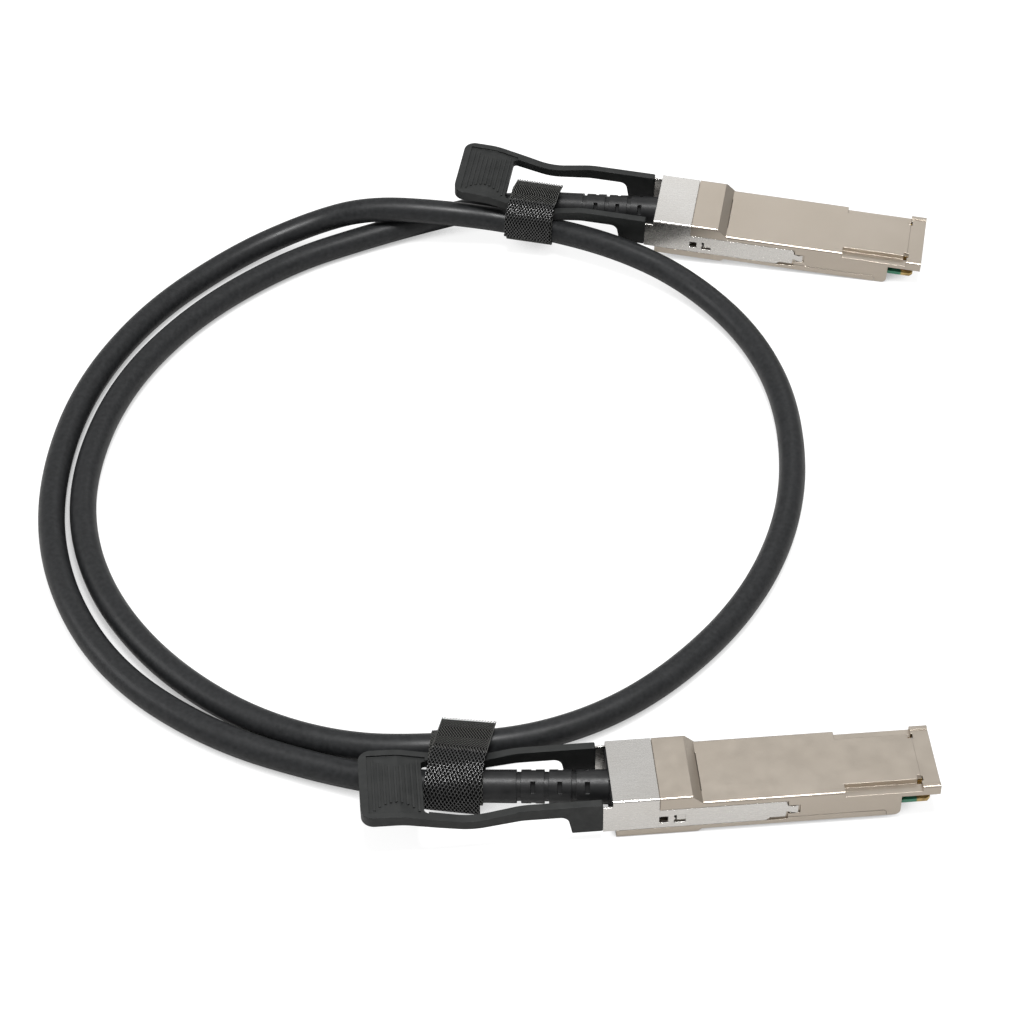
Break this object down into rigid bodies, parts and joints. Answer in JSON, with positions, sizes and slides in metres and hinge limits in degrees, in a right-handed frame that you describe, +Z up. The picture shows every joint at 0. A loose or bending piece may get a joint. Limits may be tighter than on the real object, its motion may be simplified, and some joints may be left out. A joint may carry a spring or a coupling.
{
  "type": "direct attach copper cable",
  "caption": "Coiled copper network cable with a latching metal plug on each end, pull-tab releases and hook-and-loop ties.",
  "frame": {"origin": "centre of the two plugs' joint footprint on the table they lie on", "axes": "+X is the way plug A's nose points, +Y from plug A across the coil to plug B, +Z up from the table"},
  "size_m": [0.2386, 0.2334, 0.0203],
  "materials": {
    "housing_nickel": "satin",
    "cover_nickel": "satin",
    "slider_steel": "semi gloss",
    "screw_steel": "satin",
    "boot_rubber": "satin",
    "tab_plastic": "satin",
    "ferrule_brass": "satin",
    "card_green": "gloss",
    "contact_gold": "polished",
    "chip_black": "matt",
    "pair_foil": "satin",
    "spring_steel": "gloss",
    "jacket_pvc": "matt",
    "tie_fabric": "woven"
  },
  "bodies": {
    "root": {"upper_housing_a": "housing_nickel", "lower_cover_a": "cover_nickel", "cover_screws_a": "screw_steel", "strain_relief_a": "boot_rubber", "crimp_ferrule_a": "ferrule_brass", "paddle_card_a": "card_green", "edge_contacts_a": "contact_gold", "eeprom_chip_a": "chip_black", "twinax_pairs_a": "pair_foil", "return_spring_left_a": "spring_steel", "return_spring_right_a": "spring_steel", "upper_housing_b": "housing_nickel", "lower_cover_b": "cover_nickel", "cover_screws_b": "screw_steel", "strain_relief_b": "boot_rubber", "crimp_ferrule_b": "ferrule_brass", "paddle_card_b": "card_green", "edge_contacts_b": "contact_gold", "eeprom_chip_b": "chip_black", "twinax_pairs_b": "pair_foil", "return_spring_left_b": "spring_steel", "return_spring_right_b": "spring_steel", "cable": "jacket_pvc", "tie_a": "tie_fabric", "tie_b": "tie_fabric"},
    "slider_a": {"latch_slider_a": "slider_steel", "pull_tab_a": "tab_plastic"},
    "slider_b": {"latch_slider_b": "slider_steel", "pull_tab_b": "tab_plastic"}
  },
  "joints": [
    {"name": "slider_a_release", "type": "slide", "parent": "root", "child": "slider_a", "axis": [-1, 0, 0], "range_m": [0, 0.0028], "stiffness_N_per_m": 1500, "springref_m": -0.002, "deforming": ["return_spring_left_a", "return_spring_right_a"]},
    {"name": "slider_b_release", "type": "slide", "parent": "root", "child": "slider_b", "axis": [-0.9653, 0.2559, 0.0523], "range_m": [0, 0.0028], "stiffness_N_per_m": 1500, "springref_m": -0.002, "deforming": ["return_spring_left_b", "return_spring_right_b"]}
  ]
}
